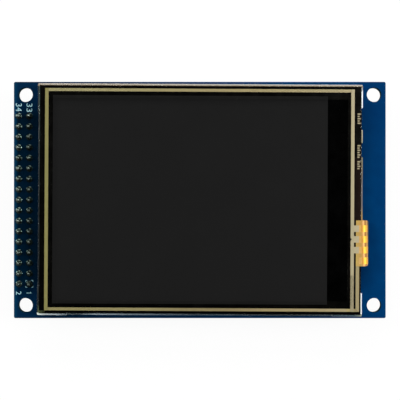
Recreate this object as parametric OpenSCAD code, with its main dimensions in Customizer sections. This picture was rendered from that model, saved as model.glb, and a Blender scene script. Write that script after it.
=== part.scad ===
// Colour display module: a liquid-crystal panel with a four-wire touch screen, held by foam
// tape on a carrier board that has a two-row pin header.
// Lengths are millimetres. +Z points out of the screen and +X runs from the header to the
// flexes. The origin is the middle of the mounting-hole pattern, on the back of the board.

/* [Carrier board] */
// Thickness of the board
board_t = 1.6; // [1:0.2:2.4]
// Board left free beyond the display, at the header end
margin_header = 6.27; // [6:0.01:10]
// Board left free beyond the display, at the flex end
margin_flex = 6.23; // [5.6:0.01:10]
// Board left free beyond the display, along its top edge
margin_top = 0.93; // [0.5:0.01:4]
// Board left free beyond the display, along its bottom edge
margin_bottom = 0.97; // [0.5:0.01:4]
// Corner radius of the board
board_corner_r = 0.4; // [0.2:0.1:1.5]
// Thickness of the bare copper lands
land_t = 0.04; // [0.02:0.01:0.05]

/* [Mounting holes] */
// Bore of each mounting hole
hole_d = 3.5; // [2.5:0.1:3.6]
// Centre of each hole from the nearer end of the board
hole_from_end = 2.8; // [2.4:0.1:3]
// Centre of each hole from the nearer long edge of the board
hole_from_side = 3.1; // [2.4:0.1:3.4]

/* [Pin header] */
// Pins in each of the two columns
header_rows = 17; // [8:1:17]
// Distance between neighbouring pins
header_pitch = 2.54; // [2.2:0.02:2.54]
// Centre of the outer pin column from the end of the board
header_from_end = 1.2; // [1.1:0.1:1.5]
// Side of each square pin
pin_w = 0.64; // [0.5:0.02:0.66]
// Length of the sloping tip at each end of a pin
pin_tip_l = 0.3; // [0.1:0.1:0.6]
// Pin length that stands free below the plastic strip
pin_mating_l = 6; // [4:0.5:12]
// Pin length that stands out of the front of the board
pin_tail_l = 1.3; // [1:0.1:2]
// Height of the plastic strip
strip_h = 2.54; // [1.5:0.1:4]
// Gap that the strip leaves to each neighbouring strip
strip_relief = 0.14; // [0.1:0.02:0.4]
// Chamfer on the corners of each cell of the strip
strip_chamfer = 0.5; // [0.2:0.1:0.7]
// Bore of each plated hole
pin_hole_d = 1; // [0.96:0.02:1.1]
// Wall of the plating in a hole
plating_t = 0.05; // [0.03:0.01:0.08]
// Diameter of the land round each plated hole
pin_land_d = 1.6; // [1.4:0.1:1.8]
// Height of the solder cone over its land
solder_cone_h = 0.7; // [0.4:0.1:0.8]
// Diameter of the solder cone where it meets the pin
solder_neck_d = 0.96; // [0.94:0.02:1]

/* [Display] */
// Length of the display's frame
display_l = 77.5; // [72:0.5:90]
// Width of the display's frame
display_w = 55.3; // [54:0.1:64]
// Turn of the display on its tape, seen from the front
display_skew = -0.3; // [-0.6:0.1:0.6]
// Wall of the display's frame
frame_wall = 1; // [0.8:0.1:1.4]
// Corner radius of the frame
frame_corner_r = 0.3; // [0.1:0.1:0.8]
// Width of the shelf that carries the glass
shelf_w = 1; // [0.8:0.1:1.4]
// Length of the opening that the flexes leave by
flex_door_w = 44.2; // [42:0.5:46]
// How far the rim of the frame is lowered at the header end and along the bottom
rim_relief = 0.8; // [0.2:0.1:1]
// Rim left at full height at each end of a lowered stretch
rim_land_l = 7; // [2:0.5:12]
// Thickness of the foam tape
tape_t = 0.5; // [0.4:0.1:1]
// Width of each strip of foam tape
tape_w = 8; // [4:1:12]
// Length of each strip of foam tape
tape_l = 46; // [20:2:50]
// Number of strips of foam tape
tape_count = 3; // [2:1:4]
// Spacing of the strips of foam tape
tape_pitch = 18; // [13:1:20]

/* [Backlight] */
// Thickness of the reflector sheet
reflector_t = 0.15; // [0.1:0.05:0.3]
// How far the reflector sheet laps under the frame
reflector_lap = 0.6; // [0.3:0.1:0.8]
// Thickness of the light guide
guide_t = 0.8; // [0.75:0.05:1.2]
// Gap between the light guide and the frame
guide_gap = 0.15; // [0.05:0.05:0.3]
// Thickness of each film over the light guide
film_t = 0.07; // [0.05:0.01:0.12]
// Width of the pocket that holds the diodes
led_bay_w = 3; // [2.6:0.1:4]
// Number of light-emitting diodes
led_count = 6; // [4:1:8]
// Length of each diode
led_l = 3; // [2:0.2:3.8]
// Depth of each diode
led_d = 0.8; // [0.6:0.1:1]
// Height of each diode
led_h = 0.6; // [0.4:0.05:0.6]
// Distance between neighbouring diodes
led_pitch = 7.6; // [4.5:0.2:7.6]
// Thickness of the rim tape under the glass
rim_tape_t = 0.05; // [0.03:0.01:0.1]
// How far the rim tape laps over the light guide
rim_tape_lap = 0.6; // [0.3:0.1:0.8]

/* [Liquid-crystal cell] */
// Gap between the glass and the frame's wall
glass_gap = 0.2; // [0.1:0.05:0.3]
// Thickness of each polariser
polariser_t = 0.13; // [0.1:0.01:0.2]
// Glass left bare round each polariser
polariser_inset = 0.3; // [0.2:0.1:0.5]
// Thickness of the rear glass
array_glass_t = 0.5; // [0.3:0.1:0.7]
// Thickness of the front glass
colour_glass_t = 0.5; // [0.4:0.1:0.7]
// Ledge of the rear glass past the front glass
ledge_w = 3.6; // [3:0.1:4.4]
// Length of the driver chip
driver_l = 20; // [12:1:24]
// Width of the driver chip
driver_w = 1; // [0.8:0.1:1.2]
// Thickness of the driver chip
driver_t = 0.3; // [0.2:0.05:0.35]
// Driver chip from the edge of the front glass
driver_gap = 0.7; // [0.4:0.1:0.8]

/* [Display flex] */
// Thickness of every flex
flex_t = 0.1; // [0.06:0.01:0.12]
// Width of the display's flex
main_flex_w = 26; // [20:1:27]
// Middle of the display's flex, from the middle of the display
main_flex_y = -2.6; // [-4:0.1:-2.4]
// Length of flex bonded to the rear glass
flex_bond_l = 1.2; // [0.8:0.1:1.3]
// Straight run between the glass and the bend
flex_lead_out = 0.3; // [0.05:0.05:0.4]
// Length of the run under the display
main_return_l = 7.6; // [5:0.2:8.4]
// Height of that run over the board
main_gap = 0.22; // [0.2:0.01:0.26]
// Number of soldered contacts on the display's flex
main_contacts = 36; // [20:1:36]
// Distance between those contacts
main_contact_pitch = 0.65; // [0.5:0.01:0.65]
// Width of each of those contacts
main_contact_w = 0.35; // [0.2:0.05:0.4]
// Length of every soldered flex contact
contact_l = 1.6; // [1:0.1:1.8]
// Width of the tail that feeds the diodes
led_tail_w = 3.1; // [2:0.1:3.4]
// Middle of the diodes' tail, from the middle of the display
led_tail_y = 15.5; // [14.8:0.1:17]
// Length of the diodes' tail under the display
led_return_l = 3.6; // [3:0.1:4]
// Height of the small tails over the board
tail_gap = 0.06; // [0.05:0.01:0.08]

/* [Touch screen] */
// Touch screen held back from each end of the frame
touch_from_end = 0.5; // [0.4:0.1:1]
// Touch screen held back from the long edges of the frame
touch_from_side = 0.5; // [0.4:0.02:1]
// Thickness of the gasket between display and touch screen
gasket_t = 0.15; // [0.1:0.05:0.4]
// Gasket held back from the edge of the touch screen
gasket_inset = 0.15; // [0.05:0.05:0.4]
// Visible area from the header end of the frame
view_from_header = 3.59; // [3.2:0.01:5]
// Visible area from the flex end of the frame
view_from_flex = 8.31; // [8:0.01:12]
// Visible area from the long edges of the frame
view_from_side = 2.8; // [2.4:0.01:5]
// Thickness of the touch screen's glass
touch_glass_t = 1; // [0.7:0.1:1.8]
// Thickness of the touch screen's film
touch_film_t = 0.18; // [0.1:0.02:0.3]
// Thickness of a printed electrode
electrode_t = 0.02; // [0.01:0.01:0.03]
// Width of the electrodes across the screen
electrode_end_w = 0.8; // [0.5:0.05:0.85]
// Width of the electrodes along the screen
electrode_side_w = 0.7; // [0.5:0.05:0.8]
// Electrode from the edge of the touch screen, at the header end
electrode_from_header = 1.46; // [1.2:0.02:1.6]
// Electrode from the edge of the touch screen, at the flex end
electrode_from_flex = 1.68; // [1.6:0.02:1.8]
// Electrode from the long edges of the touch screen
electrode_from_side = 0.8; // [0.6:0.05:0.9]
// Gap between the flex-end electrode and the lead outside it
lead_gap = 0.48; // [0.3:0.02:0.6]
// Width of that lead
lead_w = 0.8; // [0.5:0.05:0.85]
// Radius of the trimming notch in the flex-end electrode
trim_notch_r = 0.25; // [0.1:0.05:0.35]
// Ring of adhesive between film and glass, from the edge of the touch screen
spacer_w = 3.2; // [2.6:0.1:3.4]

/* [Touch flex] */
// Width of the touch screen's flex
touch_flex_w = 10.85; // [10.4:0.05:12]
// Middle of the touch screen's flex, from the middle of the display
touch_flex_y = -10.1; // [-14:0.1:-9.6]
// Corner radius of the touch screen's flex at its bend
touch_flex_r = 0.8; // [0.2:0.1:1.5]
// Length of the touch screen's flex under the display
touch_return_l = 4; // [3:0.2:4.4]
// Distance between the four contacts
touch_contact_pitch = 2.54; // [2:0.02:2.6]
// Width of each contact
touch_contact_w = 1.53; // [1:0.05:1.6]
// Row of contacts held off the middle of the touch screen's flex
touch_contact_offset = 0.33; // [0:0.01:0.4]
// How far each printed tab laps over the flex
touch_tab_lap = 0.7; // [0.3:0.1:0.9]

/* [Parts on the back] */
// Touch controller, leads on each side
chip_leads = 8; // [4:1:10]
// Touch controller, distance between leads
chip_lead_pitch = 0.65; // [0.5:0.05:0.8]
// Touch controller, body left past the last lead
chip_end = 0.23; // [0.18:0.01:0.5]
// Touch controller, width of the body
chip_w = 4.4; // [3:0.1:5]
// Touch controller, thickness of the body
chip_h = 1; // [0.8:0.1:1.6]
// Touch controller, width of a lead
chip_lead_w = 0.25; // [0.15:0.01:0.3]
// Touch controller, from the middle of the board towards the header
chip_from_middle = 26; // [20:0.5:28]
// Backlight transistor, distance between its paired leads
transistor_pitch = 1.9; // [1.6:0.1:2.2]
// Backlight transistor, body left past the paired leads
transistor_end = 0.5; // [0.3:0.05:0.8]
// Backlight transistor, width of the body
transistor_w = 1.3; // [1.1:0.1:1.8]
// Backlight transistor, thickness of the body
transistor_h = 0.95; // [0.7:0.05:1.2]
// Backlight transistor, width of a lead
transistor_lead_w = 0.4; // [0.3:0.05:0.5]
// Thickness of every lead
lead_t = 0.15; // [0.1:0.01:0.2]
// Reach of every lead past its body
lead_reach = 1; // [0.9:0.05:1.3]
// Flat foot at the end of every lead
lead_foot_l = 0.5; // [0.4:0.05:0.6]
// Body height over the board's lands
body_clearance = 0.1; // [0.05:0.05:0.2]
// Length of a chip resistor or capacitor
passive_l = 1.6; // [1.2:0.1:2]
// Width of a chip resistor or capacitor
passive_w = 0.8; // [0.5:0.1:1.2]
// Length of each metal end
passive_end_l = 0.35; // [0.2:0.05:0.5]
// Wall of each metal end
passive_end_t = 0.03; // [0.02:0.01:0.05]
// Height of a chip resistor
resistor_h = 0.45; // [0.3:0.05:0.6]
// Height of a chip capacitor
capacitor_h = 0.8; // [0.5:0.05:1.2]
// Number of resistors
resistor_count = 8; // [4:1:9]
// Number of capacitors on each side of the touch controller
capacitor_pairs = 3; // [1:1:4]
// Distance between neighbouring resistors or capacitors
passive_pitch = 2.4; // [1.8:0.1:2.6]
// Bare land shown past each soldered end
land_margin = 0.15; // [0.05:0.05:0.25]

/* [Hidden] */
$fn = 64;

// Reach of a cutting tool past the face that it cuts
over = 1;

// Board
board_l = margin_header + display_l + margin_flex;
board_w = margin_top + display_w + margin_bottom;
hole_x = board_l / 2 - hole_from_end;
hole_y = board_w / 2 - hole_from_side;

// Header: the outer column is the one nearer the end of the board
column_x = [-board_l / 2 + header_from_end, -board_l / 2 + header_from_end + header_pitch];
header_x = (column_x[0] + column_x[1]) / 2;
drill_d = pin_hole_d + 2 * plating_t;
strip_top = -land_t;

// Display placement
display_x = (margin_header - margin_flex) / 2;
display_y = (margin_bottom - margin_top) / 2;
display_z = board_t + tape_t;

// Heights in the display, from the back of its frame
films_z = reflector_t + guide_t;
shelf_z = films_z + 3 * film_t;
rear_polariser_z = shelf_z + rim_tape_t;
array_z = rear_polariser_z + polariser_t;
colour_z = array_z + array_glass_t;
front_polariser_z = colour_z + colour_glass_t;
lcd_h = front_polariser_z + polariser_t;
touch_glass_z = lcd_h + gasket_t;
touch_face_z = touch_glass_z + touch_glass_t;
spacer_z = touch_face_z + electrode_t;
film_electrode_z = touch_face_z + flex_t;
film_z = film_electrode_z + electrode_t;

// Pockets of the display's frame
glass_pocket_l = display_l - 2 * frame_wall;
glass_pocket_w = display_w - 2 * frame_wall;
light_pocket_l = glass_pocket_l - 2 * shelf_w;
light_pocket_w = glass_pocket_w - 2 * shelf_w;
reflector_l = light_pocket_l + 2 * reflector_lap;
reflector_w = light_pocket_w + 2 * reflector_lap;
array_l = glass_pocket_l - 2 * glass_gap;
glass_w = glass_pocket_w - 2 * glass_gap;
colour_l = array_l - ledge_w;
colour_x = -ledge_w / 2;
guide_l = light_pocket_l - led_bay_w - guide_gap;
guide_w = light_pocket_w - 2 * guide_gap;
guide_x = (guide_gap - led_bay_w) / 2;
led_face_x = light_pocket_l / 2 - led_bay_w;
led_flex_z = reflector_t + led_h;

// Flexes: each leaves its glass, turns half round and comes back over the board
main_top = display_z + colour_z + flex_t;
main_bottom = board_t + main_gap;
main_bend_x = array_l / 2 + flex_lead_out;
flex_front_x = main_bend_x + (main_top - main_bottom) / 2;
led_top = display_z + led_flex_z + flex_t;
tail_bottom = board_t + tail_gap;
led_bend_x = flex_front_x - (led_top - tail_bottom) / 2;
touch_top = display_z + touch_face_z + flex_t;

// Touch screen
touch_l = display_l - 2 * touch_from_end;
touch_w = display_w - 2 * touch_from_side;
view_l = display_l - view_from_header - view_from_flex;
view_w = display_w - 2 * view_from_side;
view_x = (view_from_header - view_from_flex) / 2;
touch_bend_x = touch_l / 2;
electrode_x0 = -touch_l / 2 + electrode_from_header;
electrode_x1 = touch_l / 2 - electrode_from_flex;
electrode_y1 = touch_w / 2 - electrode_from_side;
lead_x = electrode_x1 + lead_gap;
touch_contact_y = touch_flex_y - touch_contact_offset;

// Parts on the back
chip_l = (chip_leads - 1) * chip_lead_pitch + chip_lead_w + 2 * chip_end;
transistor_l = transistor_pitch + 2 * transistor_end;
chip_x = -chip_from_middle;
resistor_x = chip_x + chip_w / 2 + lead_reach + 3 * passive_l;
transistor_x = resistor_x + 3 * passive_l;

// -------------------------------------------------------------------------- helpers

// A plate on the XY plane, centred in plan
module plate(l, w, t) {
    translate([-l / 2, -w / 2, 0]) cube([l, w, t]);
}

// The outline of a plate with round corners
module round_plate(l, w, r, t) {
    linear_extrude(t) union() {
        square([l - 2 * r, w], center = true);
        square([l, w - 2 * r], center = true);
        for (sx = [-1, 1], sy = [-1, 1])
            translate([sx * (l / 2 - r), sy * (w / 2 - r)]) circle(r);
    }
}

// Places its children in the display's own frame
module on_display(z = 0) {
    translate([display_x, display_y, display_z + z]) rotate([0, 0, display_skew]) children();
}

// Places its children in the display's plan, at heights measured from the board's back
module under_display() {
    translate([display_x, display_y, 0]) rotate([0, 0, display_skew]) children();
}

// Places its children on the back of the board, with their +Z pointing away from it
module on_back(x, y, turn = 0) {
    translate([x, y, 0]) mirror([0, 0, 1]) rotate([0, 0, turn]) children();
}

// Repeats its children at every pin of the header
module at_pins() {
    for (x = column_x, row = [0 : header_rows - 1])
        translate([x, (row - (header_rows - 1) / 2) * header_pitch, 0]) children();
}

// A flex that runs out along its top, turns half round and comes back below
module flex_band(x_start, x_bend, top, bottom, return_l, width) {
    bend_r = (top - bottom) / 2;
    rotate([90, 0, 0]) linear_extrude(width, center = true) union() {
        translate([x_start, top - flex_t]) square([x_bend - x_start, flex_t]);
        translate([x_bend - return_l, bottom]) square([return_l, flex_t]);
        translate([x_bend, bottom + bend_r]) intersection() {
            difference() {
                circle(bend_r);
                circle(bend_r - flex_t);
            }
            translate([0, -bend_r]) square([bend_r, 2 * bend_r]);
        }
    }
}

// A row of flat contacts along Y, with their far ends at x
module contact_row(x, y, count, pitch, width, z, t) {
    for (i = [0 : count - 1])
        translate([x, y + (i - (count - 1) / 2) * pitch - width / 2, z])
            cube([contact_l, width, t]);
}

// One bent lead, from the side of a body out to its foot
module lead(width, body_h) {
    mid = land_t + body_clearance + body_h / 2;
    shoulder = (lead_reach - lead_foot_l) / 2;
    rotate([90, 0, 0]) linear_extrude(width, center = true) polygon([
        [0, mid + lead_t / 2],
        [shoulder, mid + lead_t / 2],
        [lead_reach - lead_foot_l, land_t + lead_t],
        [lead_reach, land_t + lead_t],
        [lead_reach, land_t],
        [lead_reach - lead_foot_l - lead_t / 2, land_t],
        [shoulder - lead_t / 2, mid - lead_t / 2],
        [0, mid - lead_t / 2]
    ]);
}

// A moulded body whose four sides lean in from its middle, as a mould leaves them
module moulded_body(l, w, h) {
    draft = h / 12;
    translate([0, 0, land_t + body_clearance]) intersection() {
        rotate([90, 0, 0]) linear_extrude(l, center = true)
            moulded_section(w, h, draft);
        rotate([90, 0, 90]) linear_extrude(w, center = true)
            moulded_section(l, h, draft);
    }
}

module moulded_section(w, h, draft) {
    polygon([
        [-w / 2 + draft, 0], [-w / 2, h / 2], [-w / 2 + draft, h],
        [w / 2 - draft, h], [w / 2, h / 2], [w / 2 - draft, 0]
    ]);
}

// A chip resistor's or capacitor's body, between its metal ends
module passive_body(h) {
    translate([0, 0, land_t + passive_end_t])
        plate(passive_l - 2 * passive_end_t, passive_w - 2 * passive_end_t,
              h - 2 * passive_end_t);
}

// The two metal caps round the ends of that body
module passive_ends(h) {
    for (side = [-1, 1])
        difference() {
            translate([side * (passive_l - passive_end_l) / 2, 0, land_t])
                plate(passive_end_l, passive_w, h);
            passive_body(h);
        }
}

// The two lands under a chip resistor or capacitor
module passive_lands() {
    for (side = [-1, 1])
        translate([side * ((passive_l - passive_end_l) / 2 + land_margin), 0, 0])
            plate(passive_end_l + 2 * land_margin, passive_w + 2 * land_margin, land_t);
}

// Places of the resistors and capacitors
module at_resistors() {
    for (i = [0 : resistor_count - 1])
        on_back(resistor_x, (i - (resistor_count - 1) / 2) * passive_pitch) children();
}

module at_capacitors() {
    for (side = [-1, 1], i = [0 : capacitor_pairs - 1])
        on_back(chip_x + (i - (capacitor_pairs - 1) / 2) * passive_pitch,
                side * (chip_l / 2 + 2 * passive_l), 90) children();
}

// Places of the leads round the two moulded parts, each with +X pointing outwards
module at_chip_leads() {
    for (side = [0, 180], i = [0 : chip_leads - 1])
        on_back(chip_x, 0, side)
            translate([chip_w / 2, (i - (chip_leads - 1) / 2) * chip_lead_pitch, 0])
                children();
}

module at_transistor_leads() {
    on_back(transistor_x, 0) {
        for (side = [-1, 1])
            translate([transistor_w / 2, side * transistor_pitch / 2, 0]) children();
        rotate([0, 0, 180]) translate([transistor_w / 2, 0, 0]) children();
    }
}

// The land under the foot of a lead
module lead_land(width) {
    translate([lead_reach - lead_foot_l / 2, 0, 0])
        plate(lead_foot_l + 2 * land_margin, width, land_t);
}

// -------------------------------------------------------------------------- carrier board

module pcb() {
    color("#0a2f63") difference() {
        round_plate(board_l, board_w, board_corner_r, board_t);
        for (sx = [-1, 1], sy = [-1, 1])
            translate([sx * hole_x, sy * hole_y, -over])
                cylinder(d = hole_d, h = board_t + 2 * over);
        at_pins() translate([0, 0, -over]) cylinder(d = drill_d, h = board_t + 2 * over);
    }
}

// A plated barrel with a land on each face of the board
module header_lands() {
    color("#c8a24a") at_pins() rotate_extrude() polygon([
        [pin_hole_d / 2, -land_t],
        [pin_land_d / 2, -land_t],
        [pin_land_d / 2, 0],
        [drill_d / 2, 0],
        [drill_d / 2, board_t],
        [pin_land_d / 2, board_t],
        [pin_land_d / 2, board_t + land_t],
        [pin_hole_d / 2, board_t + land_t]
    ]);
}

// Black strip on the back: one cell with cut corners for each pair of pins
module header_strip() {
    cell_l = 2 * header_pitch - strip_relief;
    color("#1a1a1b") difference() {
        translate([header_x, 0, strip_top - strip_h]) linear_extrude(strip_h)
            for (row = [0 : header_rows - 1])
                translate([0, (row - (header_rows - 1) / 2) * header_pitch])
                    polygon([
                        [-cell_l / 2, -header_pitch / 2 + strip_chamfer],
                        [-cell_l / 2 + strip_chamfer, -header_pitch / 2],
                        [cell_l / 2 - strip_chamfer, -header_pitch / 2],
                        [cell_l / 2, -header_pitch / 2 + strip_chamfer],
                        [cell_l / 2, header_pitch / 2 - strip_chamfer],
                        [cell_l / 2 - strip_chamfer, header_pitch / 2],
                        [-cell_l / 2 + strip_chamfer, header_pitch / 2],
                        [-cell_l / 2, header_pitch / 2 - strip_chamfer]
                    ]);
        at_pins() translate([0, 0, strip_top - strip_h - over])
            plate(pin_w, pin_w, strip_h + 2 * over);
    }
}

// Side view of a square pin with both tips sloped
module pin_outline() {
    low = strip_top - strip_h - pin_mating_l;
    high = board_t + pin_tail_l;
    polygon([
        [-pin_w / 4, low], [pin_w / 4, low],
        [pin_w / 2, low + pin_tip_l], [pin_w / 2, high - pin_tip_l],
        [pin_w / 4, high], [-pin_w / 4, high],
        [-pin_w / 2, high - pin_tip_l], [-pin_w / 2, low + pin_tip_l]
    ]);
}

module header_pins() {
    color("#d6c58a") at_pins() intersection() {
        rotate([90, 0, 0]) linear_extrude(pin_w, center = true) pin_outline();
        rotate([90, 0, 90]) linear_extrude(pin_w, center = true) pin_outline();
    }
}

// Solder fills each hole and climbs its pin in a hollow cone
module header_solder() {
    foot_z = board_t + land_t;
    color("#9aa5a3") at_pins() difference() {
        rotate_extrude() polygon([
            [0, 0],
            [pin_hole_d / 2, 0],
            [pin_hole_d / 2, foot_z],
            [pin_land_d / 2, foot_z],
            [pin_land_d / 2 - (pin_land_d - solder_neck_d) / 4, foot_z + solder_cone_h / 4],
            [solder_neck_d / 2 + (pin_land_d - solder_neck_d) / 12, foot_z + solder_cone_h * 2 / 3],
            [solder_neck_d / 2, foot_z + solder_cone_h],
            [0, foot_z + solder_cone_h]
        ]);
        translate([0, 0, -over]) plate(pin_w, pin_w, foot_z + solder_cone_h + 2 * over);
    }
}

// -------------------------------------------------------------------------- back of the board

module component_lands() {
    color("#c8a24a") {
        at_chip_leads() lead_land(chip_lead_w);
        at_transistor_leads() lead_land(transistor_lead_w);
        at_resistors() passive_lands();
        at_capacitors() passive_lands();
    }
}

module touch_controller() {
    color("#232324") on_back(chip_x, 0) moulded_body(chip_l, chip_w, chip_h);
}

module touch_controller_leads() {
    color("#b9bcbd") at_chip_leads() lead(chip_lead_w, chip_h);
}

module backlight_transistor() {
    color("#262627") on_back(transistor_x, 0)
        moulded_body(transistor_l, transistor_w, transistor_h);
}

module transistor_leads() {
    color("#b9bcbd") at_transistor_leads() lead(transistor_lead_w, transistor_h);
}

module resistors() {
    color("#1c1d20") at_resistors() passive_body(resistor_h);
}

module resistor_ends() {
    color("#c9cccd") at_resistors() passive_ends(resistor_h);
}

module capacitors() {
    color("#a08460") at_capacitors() passive_body(capacitor_h);
}

module capacitor_ends() {
    color("#c9cccd") at_capacitors() passive_ends(capacitor_h);
}

// -------------------------------------------------------------------------- backlight

// Strips of foam tape, spaced from the middle of the display towards the header
module foam_tapes() {
    color("#2b2b2d") for (i = [0 : tape_count - 1])
        on_display(-tape_t)
            translate([-(i + 0.5) * tape_pitch + tape_pitch, 0, 0])
                plate(tape_w, tape_l, tape_t);
}

module backlight_frame() {
    color("#f2f2ee") on_display() difference() {
        round_plate(display_l, display_w, frame_corner_r, lcd_h);
        translate([0, 0, shelf_z]) plate(glass_pocket_l, glass_pocket_w, lcd_h);
        translate([0, 0, -over]) plate(light_pocket_l, light_pocket_w, lcd_h + over);
        translate([0, 0, -over]) plate(reflector_l, reflector_w, reflector_t + over);
        // opening for the flexes
        translate([array_l / 2, -flex_door_w / 2, -over])
            cube([display_l, flex_door_w, lcd_h + 2 * over]);
        // slot in the shelf for the diodes' tail
        translate([0, led_tail_y - led_tail_w / 2 - guide_gap, led_flex_z])
            cube([display_l, led_tail_w + 2 * guide_gap, lcd_h]);
        // lowered rims
        translate([-display_l, rim_land_l - display_w / 2, lcd_h - rim_relief])
            cube([display_l / 2 + frame_wall / 2, display_w - 2 * rim_land_l, lcd_h]);
        translate([rim_land_l - display_l / 2, -display_w, lcd_h - rim_relief])
            cube([display_l - 2 * rim_land_l, display_w / 2 + frame_wall / 2, lcd_h]);
    }
}

module reflector_sheet() {
    color("#e9eaec") on_display() plate(reflector_l, reflector_w, reflector_t);
}

module light_guide() {
    color("#dfe8ec") on_display(reflector_t) translate([guide_x, 0, 0])
        plate(guide_l, guide_w, guide_t);
}

module backlight_leds() {
    color("#f4e9a8") on_display(reflector_t) for (i = [0 : led_count - 1])
        translate([led_face_x + led_d / 2, (i - (led_count - 1) / 2) * led_pitch, 0])
            plate(led_d, led_l, led_h);
}

// A strip over the diodes, with a tail that turns down to the board
module led_flex() {
    color("#b5ac8a") under_display() {
        translate([led_face_x, -guide_w / 2, led_top - flex_t])
            cube([led_bay_w - guide_gap, guide_w, flex_t]);
        translate([0, led_tail_y, 0])
            flex_band(led_face_x + led_bay_w / 2, led_bend_x, led_top, tail_bottom,
                      led_return_l, led_tail_w);
    }
}

module optical_film(index) {
    on_display(films_z + index * film_t) translate([guide_x, 0, 0])
        plate(guide_l, guide_w, film_t);
}

module diffuser_sheet() {
    color("#f3f3f1") optical_film(0);
}

module prism_sheet_lower() {
    color("#dfe2e6") optical_film(1);
}

module prism_sheet_upper() {
    color("#d6dade") optical_film(2);
}

module rim_tape() {
    color("#101011") on_display(shelf_z) difference() {
        plate(array_l, glass_w, rim_tape_t);
        translate([guide_x, 0, -over])
            plate(guide_l - 2 * rim_tape_lap, guide_w - 2 * rim_tape_lap, rim_tape_t + 2 * over);
        // kept back from the diodes' tail
        translate([led_face_x + led_bay_w / 2, led_tail_y - led_tail_w / 2 - guide_gap, -over])
            cube([led_bay_w + frame_wall, led_tail_w + 2 * guide_gap, rim_tape_t + 2 * over]);
    }
}

// -------------------------------------------------------------------------- display cell

module rear_polariser() {
    color("#33363a") on_display(rear_polariser_z) translate([colour_x, 0, 0])
        plate(colour_l - 2 * polariser_inset, glass_w - 2 * polariser_inset, polariser_t);
}

module array_glass() {
    color("#9fb3b0") on_display(array_z) plate(array_l, glass_w, array_glass_t);
}

module colour_filter_glass() {
    color("#3b4144") on_display(colour_z) translate([colour_x, 0, 0])
        plate(colour_l, glass_w, colour_glass_t);
}

module front_polariser() {
    color("#1c1c1c") on_display(front_polariser_z) translate([colour_x, 0, 0])
        plate(colour_l - 2 * polariser_inset, glass_w - 2 * polariser_inset, polariser_t);
}

module driver_chip() {
    color("#3f4145") on_display(colour_z)
        translate([colour_x + colour_l / 2 + driver_gap + driver_w / 2, main_flex_y, 0])
            plate(driver_w, driver_l, driver_t);
}

module display_flex() {
    color("#b07a2a") under_display() translate([0, main_flex_y, 0])
        flex_band(array_l / 2 - flex_bond_l, main_bend_x, main_top, main_bottom,
                  main_return_l, main_flex_w);
}

module display_flex_solder() {
    color("#a9b0b2") under_display()
        contact_row(main_bend_x - main_return_l, main_flex_y, main_contacts,
                    main_contact_pitch, main_contact_w, board_t + land_t, main_gap - land_t);
}

// Lands on the front of the board for all three flexes
module flex_lands() {
    color("#c8a24a") under_display() {
        contact_row(main_bend_x - main_return_l, main_flex_y, main_contacts,
                    main_contact_pitch, main_contact_w, board_t, land_t);
        contact_row(touch_bend_x - touch_return_l, touch_contact_y, 4,
                    touch_contact_pitch, touch_contact_w, board_t, land_t);
        contact_row(led_bend_x - led_return_l, led_tail_y, 2,
                    led_tail_w / 2, led_tail_w / 3, board_t, land_t);
    }
}

module tail_solder() {
    color("#a9b0b2") under_display() {
        contact_row(touch_bend_x - touch_return_l, touch_contact_y, 4, touch_contact_pitch,
                    touch_contact_w, board_t + land_t, tail_gap - land_t);
        contact_row(led_bend_x - led_return_l, led_tail_y, 2, led_tail_w / 2,
                    led_tail_w / 3, board_t + land_t, tail_gap - land_t);
    }
}

// -------------------------------------------------------------------------- touch screen

module touch_gasket() {
    color("#0b0b0c") on_display(lcd_h) difference() {
        plate(touch_l - 2 * gasket_inset, touch_w - 2 * gasket_inset, gasket_t);
        translate([view_x, 0, -over]) plate(view_l, view_w, gasket_t + 2 * over);
        // kept clear of the display's flex
        translate([array_l / 2 - flex_bond_l - glass_gap,
                   main_flex_y - main_flex_w / 2 - glass_gap, -over])
            cube([touch_l, main_flex_w + 2 * glass_gap, gasket_t + 2 * over]);
    }
}

module touch_glass() {
    color("#20262a") on_display(touch_glass_z) plate(touch_l, touch_w, touch_glass_t);
}

// Electrodes along both long edges, and the lead up to the flex from the lower one
module glass_electrodes() {
    run_l = electrode_x1 - electrode_x0;
    lead_top_y = touch_flex_y - touch_flex_w / 2;
    color("#a89a6c") on_display(touch_face_z) {
        translate([electrode_x0, electrode_y1 - electrode_side_w, 0])
            cube([run_l, electrode_side_w, electrode_t]);
        translate([electrode_x0, -electrode_y1, 0])
            cube([lead_x + lead_w - electrode_x0, electrode_side_w, electrode_t]);
        translate([lead_x, -electrode_y1, 0])
            cube([lead_w, lead_top_y + electrode_y1, electrode_t]);
    }
}

module touch_spacer() {
    color("#15181a") on_display(spacer_z) difference() {
        plate(touch_l, touch_w, flex_t - electrode_t);
        translate([0, 0, -over])
            plate(touch_l - 2 * spacer_w, touch_w - 2 * spacer_w, flex_t + 2 * over);
        translate([lead_x, touch_flex_y - touch_flex_w / 2, -over])
            cube([touch_l, touch_flex_w, flex_t + 2 * over]);
    }
}

// Electrodes across both ends, with tabs that reach over the flex
module film_electrodes() {
    tab_x = electrode_x1 - electrode_end_w / 2;
    color("#b2a789") on_display(film_electrode_z) {
        translate([electrode_x0, -electrode_y1, 0])
            cube([electrode_end_w, 2 * electrode_y1, electrode_t]);
        difference() {
            union() {
                translate([electrode_x1 - electrode_end_w, -electrode_y1, 0])
                    cube([electrode_end_w, 2 * electrode_y1, electrode_t]);
                for (i = [-0.5 : 1 : 1.5])
                    translate([tab_x, touch_contact_y + i * touch_contact_pitch - touch_contact_w / 2,
                               0])
                        cube([lead_x + touch_tab_lap - tab_x, touch_contact_w, electrode_t]);
            }
            translate([electrode_x1 - electrode_end_w, touch_contact_y + touch_contact_pitch / 2,
                       -over])
                cylinder(r = trim_notch_r, h = electrode_t + 2 * over);
        }
    }
}

module touch_film() {
    color("#0f1112") on_display(film_z) plate(touch_l, touch_w, touch_film_t);
}

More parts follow.
